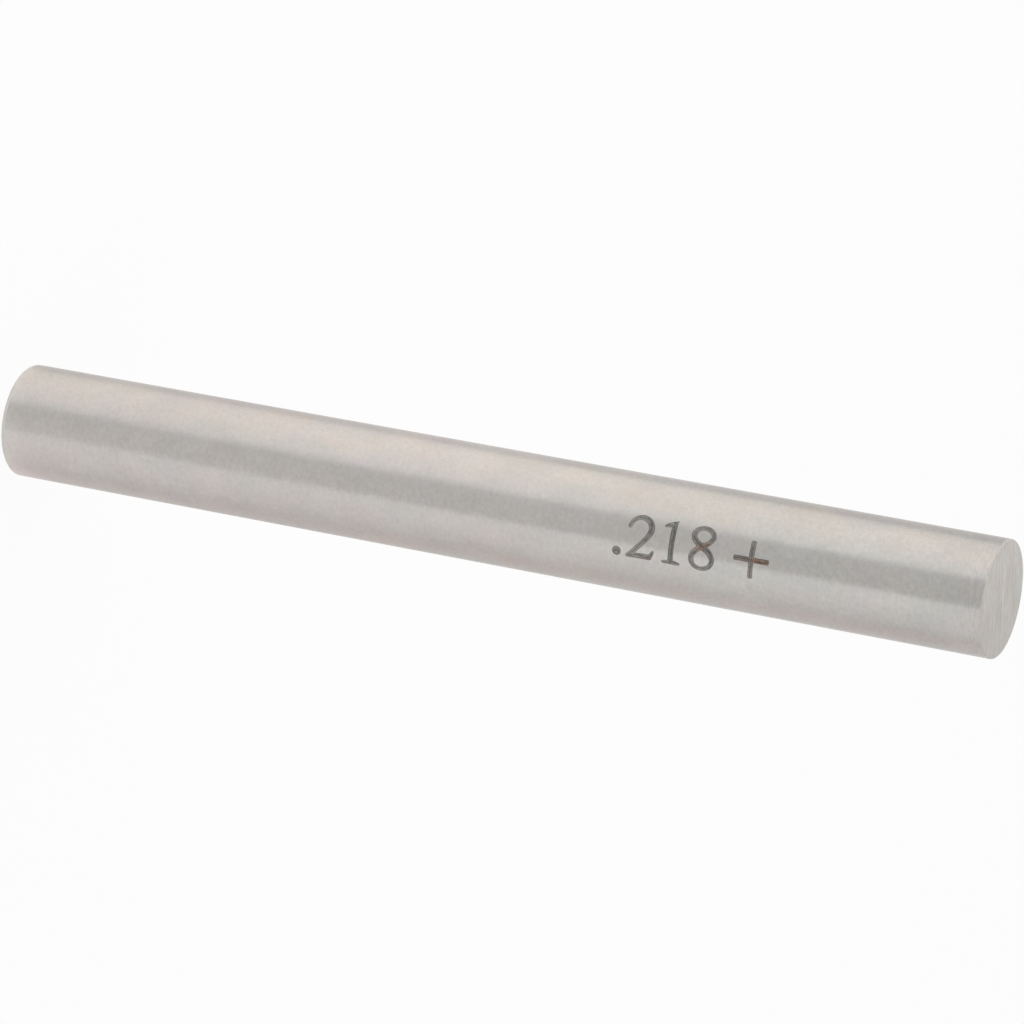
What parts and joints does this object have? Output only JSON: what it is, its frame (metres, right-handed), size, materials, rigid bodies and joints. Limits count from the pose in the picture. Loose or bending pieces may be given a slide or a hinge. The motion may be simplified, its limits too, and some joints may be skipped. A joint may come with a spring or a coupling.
{
  "type": "pin gauge",
  "caption": "Plain cylindrical steel pin, ground to an exact diameter with flat ends, tried in a hole to check its size.",
  "frame": {"origin": "centre of the plain, unmarked end face, on which the pin stands", "axes": "+Z along the pin's axis towards the end that carries the size mark; the mark faces -Y"},
  "size_m": [0.0056, 0.0056, 0.0508],
  "materials": {
    "ground_steel": "fine ground, satin, grind lines round the barrel and straight across the end faces"
  },
  "bodies": {
    "root": {"gauge_pin": "ground_steel"}
  },
  "joints": []
}
